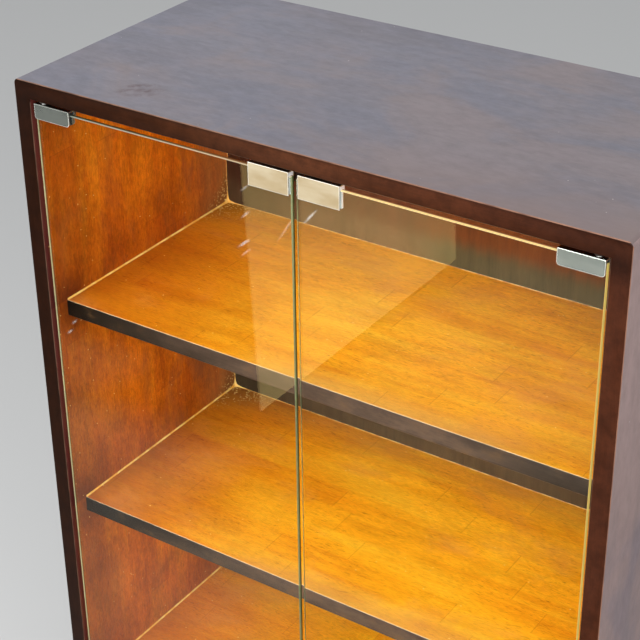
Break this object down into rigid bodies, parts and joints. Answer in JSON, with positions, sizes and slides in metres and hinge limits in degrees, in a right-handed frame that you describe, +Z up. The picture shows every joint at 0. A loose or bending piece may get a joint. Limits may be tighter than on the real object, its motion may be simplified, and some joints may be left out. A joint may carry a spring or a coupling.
{
  "type": "display case",
  "caption": "Glass-fronted wooden display case: mitred carcass, fixed shelves and frameless glass doors on pivot hinges, held shut by a magnetic touch latch.",
  "frame": {"origin": "on the floor, under the middle of the case", "axes": "+Z up, -Y out of the front towards the viewer, +X to the right as seen from the front"},
  "size_m": [0.63, 0.313, 1],
  "materials": {
    "carcass_wood": "dark stained, satin lacquer",
    "shelf_wood": "amber stained, gloss lacquer",
    "back_wood": "dark stained, satin lacquer",
    "bare_wood": "bare beech",
    "door_glass": "clear float glass, polished edges",
    "hinge_steel": "satin nickel",
    "pin_steel": "bright steel",
    "strike_steel": "satin plated steel",
    "screw_steel": "zinc plated",
    "spring_steel": "spring steel",
    "magnet_metal": "nickel plated magnet",
    "pad_rubber": "matt",
    "liner_plastic": "white foam tape",
    "latch_plastic": "dark brown moulded",
    "bush_plastic": "black nylon",
    "foot_plastic": "dark moulded"
  },
  "bodies": {
    "case": {"top_panel": "carcass_wood", "bottom_panel": "carcass_wood", "left_side": "carcass_wood", "right_side": "carcass_wood", "back_panel": "back_wood", "upper_shelf": "shelf_wood", "middle_shelf": "shelf_wood", "lower_shelf": "shelf_wood", "corner_splines": "bare_wood", "shelf_dowels": "bare_wood", "back_screws": "screw_steel", "foot_glides": "foot_plastic", "foot_screws": "screw_steel", "upper_pivot_bushes": "bush_plastic", "lower_pivot_bushes": "bush_plastic", "latch_housing": "latch_plastic", "latch_screws": "screw_steel", "latch_springs": "spring_steel"},
    "left_door": {"left_glass": "door_glass", "left_upper_hinge": "hinge_steel", "left_lower_hinge": "hinge_steel", "left_upper_pin": "pin_steel", "left_lower_pin": "pin_steel", "left_hinge_pads": "pad_rubber", "left_hinge_screws": "screw_steel", "left_strike_plate": "strike_steel", "left_strike_liner": "liner_plastic"},
    "left_latch": {"left_plunger": "latch_plastic", "left_magnet": "magnet_metal"},
    "right_door": {"right_glass": "door_glass", "right_upper_hinge": "hinge_steel", "right_lower_hinge": "hinge_steel", "right_upper_pin": "pin_steel", "right_lower_pin": "pin_steel", "right_hinge_pads": "pad_rubber", "right_hinge_screws": "screw_steel", "right_strike_plate": "strike_steel", "right_strike_liner": "liner_plastic"},
    "right_latch": {"right_plunger": "latch_plastic", "right_magnet": "magnet_metal"}
  },
  "joints": [
    {"name": "left_door_hinge", "type": "hinge", "parent": "case", "child": "left_door", "pos_m": [-0.285, -0.1499, 0.5], "axis": [0, 0, -1], "range_deg": [0, 120]},
    {"name": "left_latch_slide", "type": "slide", "parent": "case", "child": "left_latch", "axis": [0, -1, 0], "range_m": [0, 0.008]},
    {"name": "right_door_hinge", "type": "hinge", "parent": "case", "child": "right_door", "pos_m": [0.285, -0.1499, 0.5], "axis": [0, 0, 1], "range_deg": [0, 120]},
    {"name": "right_latch_slide", "type": "slide", "parent": "case", "child": "right_latch", "axis": [0, -1, 0], "range_m": [0, 0.008]}
  ],
  "couplings": [
    {"joint": "left_latch_slide", "follows": "left_door_hinge", "m_per_rad": 0.0038},
    {"joint": "right_latch_slide", "follows": "right_door_hinge", "m_per_rad": 0.0038}
  ]
}
